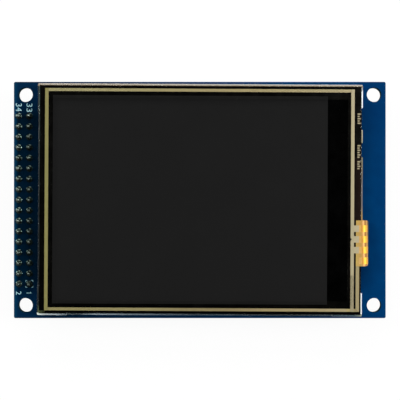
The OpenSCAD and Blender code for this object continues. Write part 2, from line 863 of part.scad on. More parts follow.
module touch_flex() {
    reach = (touch_top - tail_bottom) / 2;
    back = touch_bend_x - touch_return_l;
    color("#e0a02c") under_display() translate([0, touch_flex_y, 0]) intersection() {
        flex_band(lead_x, touch_bend_x, touch_top, tail_bottom, touch_return_l, touch_flex_w);
        translate([(back + touch_bend_x + reach) / 2, 0, 0])
            round_plate(touch_bend_x + reach - back, touch_flex_w, touch_flex_r, touch_top + over);
    }
}

pcb();
header_lands();
header_strip();
header_pins();
header_solder();
component_lands();
touch_controller();
touch_controller_leads();
backlight_transistor();
transistor_leads();
resistors();
resistor_ends();
capacitors();
capacitor_ends();
foam_tapes();
backlight_frame();
reflector_sheet();
light_guide();
backlight_leds();
led_flex();
diffuser_sheet();
prism_sheet_lower();
prism_sheet_upper();
rim_tape();
rear_polariser();
array_glass();
colour_filter_glass();
front_polariser();
driver_chip();
display_flex();
display_flex_solder();
flex_lands();
tail_solder();
touch_gasket();
touch_glass();
glass_electrodes();
touch_spacer();
film_electrodes();
touch_film();
touch_flex();
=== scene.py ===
# %% [markdown]
# # A colour display module with a touch screen
# The real object is a small liquid-crystal panel under a four-wire touch screen. Foam tape
# holds it on a blue circuit board, which has a two-row pin header along its left end. This
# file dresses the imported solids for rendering. Its first cell loads them as a fixed frame and
# keeps the box that they fill, because nothing made later may be larger than the real part.

# %% Load the frame
import bpy
import math
import random
from mathutils import Euler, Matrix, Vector


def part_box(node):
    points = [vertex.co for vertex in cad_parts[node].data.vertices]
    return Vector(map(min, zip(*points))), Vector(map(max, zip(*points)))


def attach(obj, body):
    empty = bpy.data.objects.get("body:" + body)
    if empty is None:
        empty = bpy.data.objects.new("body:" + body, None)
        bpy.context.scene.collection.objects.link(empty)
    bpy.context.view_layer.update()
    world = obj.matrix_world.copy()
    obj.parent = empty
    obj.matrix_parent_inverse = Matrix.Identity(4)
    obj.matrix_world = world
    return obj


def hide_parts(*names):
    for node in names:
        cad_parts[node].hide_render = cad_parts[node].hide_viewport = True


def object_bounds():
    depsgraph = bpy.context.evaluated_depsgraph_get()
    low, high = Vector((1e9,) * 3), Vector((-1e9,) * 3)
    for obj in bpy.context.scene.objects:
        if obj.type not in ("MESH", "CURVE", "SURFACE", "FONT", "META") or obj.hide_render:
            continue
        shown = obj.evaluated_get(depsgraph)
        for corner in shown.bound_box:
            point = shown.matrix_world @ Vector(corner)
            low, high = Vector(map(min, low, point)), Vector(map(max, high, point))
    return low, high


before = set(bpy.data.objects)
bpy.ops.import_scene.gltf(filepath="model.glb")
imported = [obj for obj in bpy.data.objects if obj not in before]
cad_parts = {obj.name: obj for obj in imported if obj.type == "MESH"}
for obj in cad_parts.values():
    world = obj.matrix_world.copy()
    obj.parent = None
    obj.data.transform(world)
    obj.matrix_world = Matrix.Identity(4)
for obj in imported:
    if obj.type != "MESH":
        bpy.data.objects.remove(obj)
cad_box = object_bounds()
print("solids in the frame:", len(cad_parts))

# %% [markdown]
# Blender counts in metres and this part is drawn in millimetres, so one name does the
# conversion. The corners of a few solids say where things go. The display was taped down
# slightly turned, so pieces on it are made square first and then turned with it.

# %% Lengths and places
MM = 0.001
BODY = "root"
DISPLAY_TURN = math.radians(-0.3)
board_low, board_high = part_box("pcb")
board_top = board_high.z
shell_low, shell_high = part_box("backlight_frame")
display_centre = (shell_low + shell_high) / 2
print("board, mm:", [round(v / MM, 2) for v in board_high - board_low])
print("display centre, mm:", [round(v / MM, 2) for v in display_centre])

# %% [markdown]
# The camera hangs straight above the board, as for a catalogue picture. A distance of
# 200 mm with a long lens keeps the sides almost square to the view, and the lens is chosen so
# that 96.8 mm of the board's level fill the picture.

# %% Camera
CAMERA_HEIGHT, CAMERA_X, VIEW_WIDTH = 200 * MM, 0.05 * MM, 96.84 * MM
SENSOR, NEAREST, FARTHEST = 36, 10 * MM, 20


def new_object(name, data):
    thing = bpy.data.objects.new(name, data)
    bpy.context.scene.collection.objects.link(thing)
    return thing


camera_data = bpy.data.cameras.new("camera")
camera_data.sensor_width = SENSOR
camera_data.lens = SENSOR * CAMERA_HEIGHT / VIEW_WIDTH
camera_data.clip_start, camera_data.clip_end = NEAREST, FARTHEST
camera = new_object("camera", camera_data)
camera.location = (CAMERA_X, 0, board_top + CAMERA_HEIGHT)
bpy.context.scene.camera = camera
bpy.context.scene.view_settings.view_transform = "Standard"
print("lens, mm:", round(camera_data.lens, 1))

# %% [markdown]
# Most steps end the same way, so they share a few helpers. An operator acts on everything
# that is selected, which is why each helper first clears the selection. A finished piece has
# its place in its mesh and its object at the origin, like the solids of the frame.

# %% Helpers for objects
BEND = 35  # degrees between two faces, above which the edge between them is a real one


def clear_selection():
    if bpy.context.object and bpy.context.object.mode != "OBJECT":
        bpy.ops.object.mode_set(mode="OBJECT")
    bpy.ops.object.select_all(action="DESELECT")


def pick(piece):
    clear_selection()
    piece.select_set(True)
    bpy.context.view_layer.objects.active = piece
    return piece


def apply_place(piece):
    pick(piece)
    bpy.ops.object.transform_apply(location=True, rotation=True, scale=True)
    return piece


def apply_modifier(piece, kind, **settings):
    pick(piece)
    modifier = piece.modifiers.new(kind.lower(), kind)
    for key, value in settings.items():
        setattr(modifier, key, value)
    bpy.ops.object.modifier_apply(modifier=modifier.name)
    return piece


def copy_of(piece):
    return new_object("copy", piece.data.copy())


def edit(piece):
    pick(piece)
    bpy.ops.object.mode_set(mode="EDIT")
    bpy.ops.mesh.select_mode(type="VERT")
    bpy.ops.mesh.select_all(action="SELECT")


def leave_edit():
    bpy.ops.object.mode_set(mode="OBJECT")


def select_where(piece, kind, test):
    """Selects what passes the test, which gets a face, or the two ends of an edge."""
    bpy.ops.mesh.select_mode(type=kind)
    bpy.ops.mesh.select_all(action="DESELECT")
    leave_edit()
    mesh = piece.data
    for item in mesh.polygons if kind == "FACE" else mesh.edges:
        ends = [mesh.vertices[i].co for i in item.vertices]
        item.select = bool(test(item) if kind == "FACE" else test(*ends))
    bpy.ops.object.mode_set(mode="EDIT")


def extrude(x, y, z):
    bpy.ops.mesh.extrude_region_move(TRANSFORM_OT_translate={"value": (x * MM, y * MM, z * MM)})


def merge_close():
    """Joins points that lie on one another, after a spin has made them twice."""
    bpy.ops.mesh.select_all(action="SELECT")
    bpy.ops.mesh.remove_doubles(threshold=0.001 * MM)


def round_edges(piece, width, segments=2):
    return apply_modifier(piece, "BEVEL", width=width * MM, segments=segments,
                          limit_method="ANGLE", angle_limit=math.radians(BEND))


def join(pieces):
    clear_selection()
    for piece in pieces:
        piece.select_set(True)
    bpy.context.view_layer.objects.active = pieces[0]
    bpy.ops.object.join()
    return bpy.context.object


def hand_over(piece, name, material, smooth=BEND):
    """Names a finished piece, dresses it and lets it ride on the module's one body."""
    pick(piece)
    if smooth:
        bpy.ops.object.shade_smooth_by_angle(angle=math.radians(smooth))
        apply_modifier(piece, "WEIGHTED_NORMAL", keep_sharp=True, weight=100)
    piece.name = name
    piece.data.name = name
    piece.data.materials.clear()
    piece.data.materials.append(material)
    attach(piece, BODY)
    print(f"{name}: {len(piece.data.polygons)} faces")
    return piece


def turn_with_display(piece):
    """Turns a piece that was made square about the middle of the display."""
    piece.rotation_euler.z = DISPLAY_TURN
    piece.location = (display_centre.x, display_centre.y, 0)
    return apply_place(piece)


def block(low, high):
    """A box between two corners, given in millimetres, to be shaped further."""
    clear_selection()
    middle = [(a + b) / 2 * MM for a, b in zip(low, high)]
    bpy.ops.mesh.primitive_cube_add(size=1, location=middle)
    piece = bpy.context.object
    piece.scale = [(b - a) * MM for a, b in zip(low, high)]
    return apply_place(piece)


print("every piece rides on:", BODY)

# %% [markdown]
# The sky, the floor and every finish are networks of nodes. These helpers add nodes with their
# sockets filled, and build the masks that say where on a piece a colour lies, with places in
# millimetres. Colours are written as a screen shows them, from 0 to 255 in each channel, so
# `linear` turns them into the linear light that shaders work with.

# %% Helpers for nodes
def linear(code):
    values = [int(code[i:i + 2], 16) / 255 for i in (1, 3, 5)]
    return tuple(v / 12.92 if v <= 0.04045 else ((v + 0.055) / 1.055) ** 2.4
                 for v in values) + (1.0,)


def plug(tree, value, socket):
    """Fills a socket with a constant, the code of a colour, or a link from another node."""
    if isinstance(value, bpy.types.NodeSocket):
        tree.links.new(value, socket)
    else:
        socket.default_value = linear(value) if isinstance(value, str) else value


def feed(tree, node, **values):
    """Fills sockets by name. A blank in a name is written as _."""
    for key, value in values.items():
        plug(tree, value, node.inputs[key.replace("_", " ")])
    return node


def add_node(tree, kind, **values):
    return feed(tree, tree.nodes.new("ShaderNode" + kind), **values)


def mix_shaders(tree, mask, first, second, output):
    """Shows the second shader where the mask is 1, on the surface of an output node."""
    mix = add_node(tree, "MixShader")
    for value, socket in zip((mask, first.outputs[0], second.outputs[0]), mix.inputs):
        plug(tree, value, socket)
    feed(tree, output, Surface=mix.outputs[0])


def empty_tree(owner):
    owner.use_nodes = True
    owner.node_tree.nodes.clear()
    return owner.node_tree


def maths(tree, operation, *values):
    node = add_node(tree, "Math")
    node.operation = operation
    for value, socket in zip(values, node.inputs):
        plug(tree, value, socket)
    return node.outputs[0]


def both(tree, first, second):
    return maths(tree, "MULTIPLY", first, second)


def layer(tree, mask, below, above):
    """Shows the colour `above` where the mask is 1."""
    node = add_node(tree, "Mix")
    node.data_type = "RGBA"
    return feed(tree, node, Factor=mask, A=below, B=above).outputs["Result"]


def ramp(tree, value, low, high, top=1.0, bottom=0.0):
    """Maps a span of a value onto a mask, with both ends held."""
    return add_node(tree, "MapRange", Value=value, From_Min=low, From_Max=high,
                    To_Min=bottom, To_Max=top).outputs["Result"]


def past(tree, value, low, high, top=1.0):
    """A mask that rises between two places."""
    return ramp(tree, value, low * MM, high * MM, top)


def short_of(tree, value, low, high):
    """A mask that falls between two places."""
    return ramp(tree, value, low * MM, high * MM, 0.0, 1.0)


def stops(tree, value, points):
    """Colours along a value, as pairs of a place and a colour."""
    low, high = points[0][0], points[-1][0]
    bands = add_node(tree, "ValToRGB", Fac=past(tree, value, low, high))
    elements = bands.color_ramp.elements
    elements[0].color, elements[1].color = linear(points[0][1]), linear(points[-1][1])
    for place, colour in points[1:-1]:
        elements.new((place - low) / (high - low)).color = linear(colour)
    return bands.outputs["Color"]


def axes(tree, output="Object"):
    """The X, Y and Z of a place on the piece, or of its normal."""
    place = add_node(tree, "TexCoord").outputs[output]
    return add_node(tree, "SeparateXYZ", Vector=place).outputs


print("helpers are ready")

# %% [markdown]
# ## Light
# The light is soft, with the brightest lamp at the right. The screen is a mirror, so nothing
# bright may hang above it: the sky is grey near the horizon and dark overhead, and the lamps
# stand low enough to stay out of the mirror. The sky is plain white where the camera looks at
# it directly.

# %% World
FADE_FROM, FADE_TO, HORIZON = 0.35, 0.8, 0.48
world = bpy.data.worlds.new("studio")
bpy.context.scene.world = world
tree = empty_tree(world)
fade = ramp(tree, axes(tree, "Generated")[2], FADE_FROM, FADE_TO, top=0.0, bottom=HORIZON)
looked_at = add_node(tree, "LightPath").outputs["Is Camera Ray"]
sky = add_node(tree, "Background", Color=(1, 1, 1, 1),
               Strength=maths(tree, "MAXIMUM", fade, looked_at))
add_node(tree, "OutputWorld", Surface=sky.outputs[0])
print("sky at the horizon:", HORIZON)

# %% Lamps
def lamp(name, place, size, watts, colour):
    data = bpy.data.lights.new(name, "AREA")
    data.shape = "RECTANGLE"
    data.size, data.size_y = size
    data.energy = watts
    data.color = colour
    thing = new_object(name, data)
    thing.location = place
    thing.rotation_euler = (-Vector(place)).to_track_quat("-Z", "Y").to_euler()
    print(name, "lamp, W:", watts)


lamp("right", (0.86, 0.14, 0.80), (0.45, 0.60), 11.5, (1, 0.99, 0.98))
lamp("top", (-0.02, 0.86, 0.76), (0.70, 0.40), 6.5, (1, 0.97, 0.93))
lamp("left", (-0.82, 0.30, 0.78), (0.40, 0.50), 7.0, (0.96, 1, 0.99))

# %% [markdown]
# The floor is a plain white sheet that lies under the pins. Seen directly, in a mirror or
# through glass it glows close to white and still takes a soft shadow. It lights the part as
# white paper does.

# %% Floor
FLOOR_SIZE, FLOOR_GAP = 6, 0.01 * MM
PAPER, GLOW = 0.9, 0.93
clear_selection()
bpy.ops.mesh.primitive_plane_add(size=FLOOR_SIZE, location=(0, 0, cad_box[0][2] - FLOOR_GAP))
floor = bpy.context.object
floor.name = "floor"
paper = bpy.data.materials.new("floor_paper")
tree = empty_tree(paper)
path = add_node(tree, "LightPath").outputs
seen = maths(tree, "MAXIMUM", path["Is Camera Ray"], path["Is Glossy Ray"])
seen = maths(tree, "MAXIMUM", seen, path["Is Transmission Ray"])
mix_shaders(tree, both(tree, seen, GLOW),
            add_node(tree, "BsdfDiffuse", Color=(PAPER, PAPER, PAPER, 1)),
            add_node(tree, "Emission"), add_node(tree, "OutputMaterial"))
floor.data.materials.append(paper)
print("floor at, mm:", round(floor.location.z / MM, 2))

# %% [markdown]
# ## Effects that many finishes share
# No real surface has one flat colour, so three small node groups are built once and placed in
# every material with values of their own. `mottle` drifts between two colours, `grain` raises
# a fine bump, and `rubbed` lets the roughness wander as if the piece had been handled. Each
# reads a noise at the place on the piece.

# %% Groups of nodes
COLOUR, NUMBER, VECTOR = "NodeSocketColor", "NodeSocketFloat", "NodeSocketVector"
GRAIN_DEPTH, WEAR_SCALE = 0.02 * MM, 1.7


def new_group(name, inputs, output, kind, scale, **noise_values):
    """A group with one output. The input called `scale` sets the scale of its noise."""
    group = bpy.data.node_groups.new(name, "ShaderNodeTree")
    for label, socket_type, value in inputs:
        socket = group.interface.new_socket(label, in_out="INPUT", socket_type=socket_type)
        socket.default_value = value
    group.interface.new_socket(output, in_out="OUTPUT", socket_type=kind)
    given = group.nodes.new("NodeGroupInput").outputs
    place = add_node(group, "TexCoord").outputs["Object"]
    noise = add_node(group, "TexNoise", Vector=place, Scale=given[scale], **noise_values)
    result = group.nodes.new("NodeGroupOutput").inputs[output]
    return group, given, result, noise.outputs["Fac"]


mottle, given, result, fac = new_group(
    "mottle", [("Colour", COLOUR, (0.5, 0.5, 0.5, 1)), ("Second", COLOUR, (0.4, 0.4, 0.4, 1)),
               ("Patches", NUMBER, 400.0), ("Amount", NUMBER, 0.5)],
    "Colour", COLOUR, "Patches", Detail=4)
amount = both(mottle, ramp(mottle, fac, 0.35, 0.65), given["Amount"])
plug(mottle, layer(mottle, amount, given["Colour"], given["Second"]), result)

grain, given, result, fac = new_group(
    "grain", [("Size", NUMBER, 4000.0), ("Strength", NUMBER, 0.2)],
    "Normal", VECTOR, "Size", Detail=3)
bump = add_node(grain, "Bump", Distance=GRAIN_DEPTH, Strength=given["Strength"], Height=fac)
plug(grain, bump.outputs["Normal"], result)

rubbed, given, result, fac = new_group(
    "rubbed", [("Low", NUMBER, 0.3), ("High", NUMBER, 0.5), ("Size", NUMBER, 300.0)],
    "Roughness", NUMBER, "Size", Detail=5, Roughness=0.7)
plug(rubbed, ramp(rubbed, fac, 0.3, 0.7, top=given["High"], bottom=given["Low"]), result)
print("groups:", [group.name for group in bpy.data.node_groups])

# %% [markdown]
# `finish` builds one material from two colours, a range of roughness and a grain. Values that
# are the same all over go straight onto the shader's sockets. Where a finish changes along the
# piece, the parts of its material are taken out again and new colours are linked in.

# %% Helpers for materials
def use(tree, group, **values):
    node = add_node(tree, "Group")
    node.node_tree = group
    return feed(tree, node, **values)


def finish(name, colour, second, rough, patches=400, amount=0.6, size=4000, bumps=0.2,
           **sockets):
    material = bpy.data.materials.new(name)
    material.use_nodes = True
    tree = material.node_tree
    paint = use(tree, mottle, Colour=colour, Second=second, Patches=patches, Amount=amount)
    wear = use(tree, rubbed, Low=rough[0], High=rough[1], Size=patches * WEAR_SCALE)
    feel = use(tree, grain, Size=size, Strength=bumps)
    feed(tree, tree.nodes["Principled BSDF"], Base_Color=paint.outputs[0],
         Roughness=wear.outputs[0], Normal=feel.outputs[0], **sockets)
    return material


def parts_of(material):
    """The tree of a material, its shader, and the node that paints it."""
    tree = material.node_tree
    paint = next(n for n in tree.nodes if n.type == "GROUP" and n.node_tree == mottle)
    return tree, tree.nodes["Principled BSDF"], paint


def display_axes(tree):
    """X, Y and Z from the middle of the display, along its own edges."""
    back = Vector((-display_centre.x, -display_centre.y, 0))
    back.rotate(Euler((0, 0, -DISPLAY_TURN)))
    turned = add_node(tree, "Mapping", Vector=add_node(tree, "TexCoord").outputs["Object"],
                      Rotation=(0, 0, -DISPLAY_TURN), Location=back)
    return add_node(tree, "SeparateXYZ", Vector=turned.outputs[0]).outputs


print("materials so far:", len(bpy.data.materials))

# %% [markdown]
# ## Finishes of the circuit board
# The board is glass-fibre laminate under a glossy blue lacquer. Its colour carries painted light:
# the lacquer grows lighter from the header to the far end, as if lit from the right, with painted
# shade along the far side; it is lighter beyond the outer rows of pins, and painted light runs
# along the outer edge at the header. The cut sides show the laminate's fibres, so the material
# looks at the normal to find them; their colour is darkened as painted shade. A pair of places,
# in millimetres, says where a change begins and where it is complete.

# %% Lacquer
PAINTED_LIGHT_X, OUTER_ROWS, OUTER_COLUMN = (-30, 36), (20, 25), (-44.8, -44.0)
SHADE, UNDERSIDE, COAT = (5, 20, 0.45), (0.6, 0.9), 0.5
board_blue = finish("board_blue", "#001120", "#00172a", (0.14, 0.22), patches=260,
                    size=2600, bumps=0.06, Specular_IOR_Level=0.0, Coat_Roughness=0.16)
tree, shader, paint = parts_of(board_blue)
x, y, z = axes(tree)
painted_lit_blue = use(tree, mottle, Colour="#002f5c", Second="#003867", Patches=320, Amount=0.5)
back_blue = use(tree, mottle, Colour="#012c58", Second="#013565", Patches=320, Amount=0.5)
# Painted light: the lacquer grows lighter from the header to the far end, as if lit from the right.
painted_lit_far_end = past(tree, x, *PAINTED_LIGHT_X)
# Lighter beyond the outer rows of pins, and painted light along the outer edge at the header.
outer_rows = past(tree, maths(tree, "ABSOLUTE", y), *OUTER_ROWS)
header_side_in_painted_shade = layer(tree, outer_rows, paint.outputs[0], "#02203c")
header_side_in_painted_shade = layer(tree, short_of(tree, x, *OUTER_COLUMN), header_side_in_painted_shade, "#04304c")
lacquer = layer(tree, painted_lit_far_end, header_side_in_painted_shade, painted_lit_blue.outputs[0])
# Painted shade along the far side, towards the far end.
shaded = both(tree, painted_lit_far_end, past(tree, y, *SHADE))
lacquer = layer(tree, shaded, lacquer, "#012650")
lacquer = layer(tree, short_of(tree, z, *UNDERSIDE), lacquer, back_blue.outputs[0])
stretch = add_node(tree, "Mapping", Vector=add_node(tree, "TexCoord").outputs["Object"],
                   Scale=(300, 300, 9000))
weave = add_node(tree, "TexNoise", Vector=stretch.outputs[0], Scale=1)
# The fibres are darkened as painted shade on the cut sides and in the holes.
fibres_in_painted_shade = layer(tree, weave.outputs["Fac"], "#0b1a20", "#1d3836")
flat = ramp(tree, maths(tree, "ABSOLUTE", axes(tree, "Normal")[2]), 0.5, 0.8)
feed(tree, shader, Base_Color=layer(tree, flat, fibres_in_painted_shade, lacquer),
     Coat_Weight=both(tree, flat, COAT))
print("painted light on the lacquer from, mm:", PAINTED_LIGHT_X)

# %% [markdown]
# The solder of the inner column of pins lies in the shade of the display, so it is darker.

# %% Copper, solder and print
BETWEEN_COLUMNS = (-42.7, -42.3)
track_blue = finish("track_blue", "#0b4a84", "#0d528f", (0.14, 0.22), patches=320, size=2600,
                    bumps=0.06, Specular_IOR_Level=0.0, Coat_Weight=COAT, Coat_Roughness=0.16)
gold_plate = finish("gold_plate", "#d0a848", "#b98f35", (0.25, 0.4), Metallic=1)
pin_metal = finish("pin_metal", "#97a298", "#56655e", (0.2, 0.32), patches=700, Metallic=1)
solder_metal = finish("solder_metal", "#43514c", "#1c2623", (0.09, 0.18), patches=700,
                      Metallic=1, bumps=0.15)
tree, shader, paint = parts_of(solder_metal)
inner_column = past(tree, axes(tree)[0], *BETWEEN_COLUMNS)
feed(tree, paint, Colour=layer(tree, inner_column, "#43514c", "#29332f"))
tinned = finish("tinned_metal", "#c4c8c9", "#a7acae", (0.25, 0.42), patches=900, Metallic=1)
print_ink = finish("print_ink", "#94bcc6", "#749fa6", (0.55, 0.7), patches=1500, bumps=0.35)
black_nylon = finish("black_nylon", "#17181a", "#202225", (0.42, 0.55), patches=500, bumps=0.4)
mould_resin = finish("mould_resin", "#222325", "#2a2b2d", (0.55, 0.7), size=9000, bumps=0.6)
resistor_black = finish("resistor_black", "#191b20", "#24262c", (0.3, 0.45), patches=1500)
ceramic = finish("capacitor_ceramic", "#9a7b56", "#ab8d68", (0.45, 0.6), patches=2500)
black_foam = finish("black_foam", "#242426", "#2e2e31", (0.85, 0.95), size=7000, bumps=1.0)
print("materials so far:", len(bpy.data.materials))

# %% [markdown]
# ## Finishes of the display
# The frame is bright white plastic, and bands along its rim paint light and shade onto it.
# Along the top of the display the rim is painted in warm greys, as shade with a warm
# reflection; its lowered stretches are painted grey, as the shade that the gasket under the
# touch screen casts on them, and the rim at the header is painted almost black, as deep shade.
# Along the lower rim the colour is set at many places, painted reflections and shade that come
# and go, and under the touch panel all is black. These bands follow the display's own edges,
# so a mapping node turns the coordinates with it. Each band is laid over the one before.

# %% White frame
HEADER_SIDE, FAR_SIDE, SHELL_TOP = -77.5 / 2, 55.3 / 2, shell_high.z / MM
PANEL_MIDDLE, PANEL_X, PANEL_Y = (0.1, -0.03), (38.34, 38.37), (27.19, 27.22)
# Painted shade along the rim at the header, lighter and greenish near the low corner.
HEADER_RIM_PAINTED_SHADE = [
    (-27.6, "#7c8969"), (-26.4, "#5f6a49"), (-25.7, "#565f45"), (-25.2, "#1b2223"),
    (-20, "#1d2327"), (0, "#222b2d"), (27, "#3f504f")]
# Painted reflections and shade along the lower rim.
LOW_RIM_PAINTED_LIGHT_AND_SHADE = [
    (-38.7, "#c6cfc8"), (-36.5, "#bcc5c8"), (-34, "#a3adb5"), (-31.5, "#506069"),
    (-29, "#32414b"), (-25, "#a6b5c2"), (-17, "#8899a6"), (-9, "#647583"), (-1, "#30414d"),
    (3, "#364e5b"), (9, "#263b48"), (15, "#152733"), (24, "#0b1821"), (30, "#354755"),
    (37, "#425a68"), (38, "#6a7263"), (38.75, "#8b9181")]
frame_white = finish("frame_white", "#fafcff", "#f2f5f8", (0.4, 0.55), patches=300, bumps=0.15,
                     Specular_IOR_Level=0.2)
tree, shader, paint = parts_of(frame_white)
x, y, z = display_axes(tree)
normal_z = axes(tree, "Normal")[2]
upper = ramp(tree, normal_z, 0.3, 0.6)
upper_and_edge = ramp(tree, normal_z, 0.05, 0.25)
# The outermost strip of the rim at the header is darkest, as painted shade.
painted_header_shade = layer(tree, past(tree, x, HEADER_SIDE + 0.18, HEADER_SIDE + 0.22), "#030b12",
                   stops(tree, y, HEADER_RIM_PAINTED_SHADE))
# Painted shade in warm greys at the top of the rim.
painted_top_rim_shade = layer(tree, past(tree, y, 27.25, 27.4), "#7d6c54", "#a59c90")
from_middle = [maths(tree, "ABSOLUTE", maths(tree, "SUBTRACT", place, middle * MM))
               for place, middle in zip((x, y), PANEL_MIDDLE)]
under_panel = both(tree, short_of(tree, from_middle[0], *PANEL_X),
                   short_of(tree, from_middle[1], *PANEL_Y))
rim = paint.outputs[0]
# Every band but the last paints shade or reflections: grey on the lowered stretches and on a strip
# near the top, the header rim, the lower rim, and the warm top.
bands = [
    (upper, short_of(tree, z, SHELL_TOP - 0.5, SHELL_TOP - 0.4), "#5f6d74"),
    (upper, past(tree, y, 25.8, 26.6), "#9ba1a4"),
    (upper_and_edge, short_of(tree, x, HEADER_SIDE + 1, HEADER_SIDE + 1.05), painted_header_shade),
    (upper_and_edge, short_of(tree, y, -27.1, -27), stops(tree, x, LOW_RIM_PAINTED_LIGHT_AND_SHADE)),
    (upper, past(tree, y, FAR_SIDE - 0.7, FAR_SIDE - 0.66), painted_top_rim_shade)]
for where, mask, colour in bands:
    rim = layer(tree, both(tree, where, mask), rim, colour)
rim = layer(tree, under_panel, rim, "#020202")
feed(tree, shader, Base_Color=rim)
print("bands on the rim:", len(bands))

# %% [markdown]
# The sheets of the backlight, the glass and the polarisers show only at their edges, but each
# has its own look too. The screen is off; its dark grey is mostly a painted glow, an emission on
# the front polariser over a near-black colour.

# %% Sheets, glass and tapes
GREEN_CORNER_X, GREEN_CORNER_Y = (-36.9, -36.8), (-26.6, -26.5)
reflector = finish("reflector_sheet", "#e9ebee", "#dfe2e6", (0.15, 0.25), Metallic=0.6)
light_guide_clear = finish("light_guide_clear", "#dfe9ee", "#e8f0f3", (0.08, 0.16),
                           Specular_IOR_Level=0.6)
led_body = finish("led_body", "#f1e7a6", "#e8d98a", (0.3, 0.45), patches=1500)
sheet_white = finish("optical_sheet", "#e6e9ec", "#d9dde1", (0.3, 0.45), patches=700)
rim_black = finish("rim_tape_black", "#101012", "#17171a", (0.5, 0.65))
rear_film = finish("rear_polariser", "#2f3236", "#383c40", (0.25, 0.35))
# Painted glow: most of the screen's grey is this emission, which keeps it even up to its edges.
screen_film_painted_glow = finish("screen_polariser", "#080808", "#090909", (0.3, 0.34), patches=60,
                     amount=0.4, size=6000, bumps=0.02, Specular_IOR_Level=0.1,
                     Emission_Color="#181818", Emission_Strength=1.0)
cell_glass = finish("cell_glass", "#56625f", "#616e6a", (0.08, 0.14), Specular_IOR_Level=0.6)
colour_glass = finish("colour_filter_glass", "#1d2022", "#25292b", (0.08, 0.14))
silicon = finish("driver_silicon", "#3d4045", "#4a4d53", (0.15, 0.25), patches=900)
gasket_black = finish("gasket_black", "#000000", "#020202", (0.7, 0.85), bumps=0.5,
                      Specular_IOR_Level=0.0)
tree, shader, paint = parts_of(gasket_black)
x, y, z = display_axes(tree)
# A greenish patch at the gasket's corner by the header and the lower edge.
green_corner = both(tree, short_of(tree, x, *GREEN_CORNER_X), short_of(tree, y, *GREEN_CORNER_Y))
feed(tree, shader, Base_Color=layer(tree, green_corner, paint.outputs[0], "#5d6645"))
ledge_black = finish("ledge_tape", "#000000", "#020202", (0.55, 0.7), Specular_IOR_Level=0.0)
tail_tan = finish("tail_tan", "#b3a888", "#a39674", (0.35, 0.5), patches=900)
print("materials so far:", len(bpy.data.materials))

# %% [markdown]
# The electrodes are silver ink seen through the film or the glass. Their tan is set at many
# places and grows lighter and warmer towards the flex, which is painted light over the ink's own
# tan. The end of one bar lies under a clear spacer that dims it, so its ink is painted lighter there.

# %% Inks of the touch screen
# Colours of painted light along each bar, lighter towards the flex.
LOW_BAR_PAINTED_LIGHT = [(-35, "#867e50"), (-12, "#897f56"), (-3, "#7a6d4a"), (6, "#80704d"),
           (16, "#97865f"), (26, "#a08f69"), (34, "#a79975"), (36.6, "#a79975"),
           (36.8, "#9f906a")]
HIGH_BAR_PAINTED_LIGHT = [(-35, "#928c63"), (-12, "#92875d"), (10, "#9b8c63"), (26, "#a2946e"),
            (34, "#a99b78")]
glass_ink = finish("glass_ink", "#958a5d", "#9f9264", (0.45, 0.6), patches=1800, bumps=0.5)
tree, shader, paint = parts_of(glass_ink)
x, y, z = display_axes(tree)
bar_with_painted_light = layer(tree, past(tree, y, -5, 5), stops(tree, x, LOW_BAR_PAINTED_LIGHT),
                   stops(tree, x, HIGH_BAR_PAINTED_LIGHT))
# Painted light that makes up for the spacer's dimming.
painted_light_under_spacer = both(tree, past(tree, x, 34.9, 35), short_of(tree, x, 36.7, 36.8))
painted_light_under_spacer = both(tree, painted_light_under_spacer, short_of(tree, y, -17.6, -17.5))
bar_with_painted_light = layer(tree, painted_light_under_spacer, bar_with_painted_light, "#b0a068")
bar_with_painted_light = layer(tree, 0.25, bar_with_painted_light, paint.outputs[0])
feed(tree, shader, Base_Color=bar_with_painted_light)
silver_ink = finish("silver_ink", "#8a7f54", "#94875a", (0.45, 0.6), patches=1800, bumps=0.5)
tree, shader, paint = parts_of(silver_ink)
x = axes(tree)[0]
# Painted light: lighter towards the flex and darker at the header's end.
inked = layer(tree, past(tree, x, 30, 37), paint.outputs[0], "#a79c7d")
inked = layer(tree, short_of(tree, x, -36.2, -35), inked, "#7b7541")
feed(tree, shader, Base_Color=inked)
margin_ink = finish("margin_ink", "#8d8266", "#a0957a", (0.5, 0.6), patches=2500)
print("materials so far:", len(bpy.data.materials))

# %% [markdown]
# The touch screen is a sheet of glass with a plastic film above it, both clear. A clear sheet is
# mostly see-through and mirrors a little more towards its edges, which is what a Fresnel mix of
# a transparent and a mirroring shader gives. The ground sides of the sheet are less clear.

# %% Clear sheets
def clear_sheet(name, tint, edge, rough):
    material = finish(name, tint, tint, rough, patches=150, size=500, bumps=0.02,
                      Metallic=1.0)
    tree = material.node_tree
    mirror = add_node(tree, "Fresnel", IOR=1.5)
    inside = add_node(tree, "NewGeometry").outputs["Backfacing"]
    shine = both(tree, mirror.outputs[0], maths(tree, "SUBTRACT", 1, inside))
    facing = maths(tree, "ABSOLUTE", axes(tree, "Normal")[2])
    side = ramp(tree, facing, 0.3, 0.6, top=0.0, bottom=edge)
    mix_shaders(tree, maths(tree, "MAXIMUM", shine, side), add_node(tree, "BsdfTransparent"),
                tree.nodes["Principled BSDF"], tree.nodes["Material Output"])
    return material


touch_glass_clear = clear_sheet("touch_glass_clear", "#c6d2cf", 0.15, (0.1, 0.14))
touch_film_clear = clear_sheet("touch_film_clear", "#d6d9dc", 0.1, (0.12, 0.18))
adhesive_clear = clear_sheet("adhesive_clear", "#c9c4b4", 0.2, (0.2, 0.3))
print("clear sheets are ready")

# %% [markdown]
# ## Pieces whose solid is already right
# A solid of the frame that has the right shape stays, and only gets its finish. Where real
# edges would catch the light, a copy is made instead: its loose triangles are merged into
# whole faces, its edges are rounded with a bevel, and it then stands for the solid.

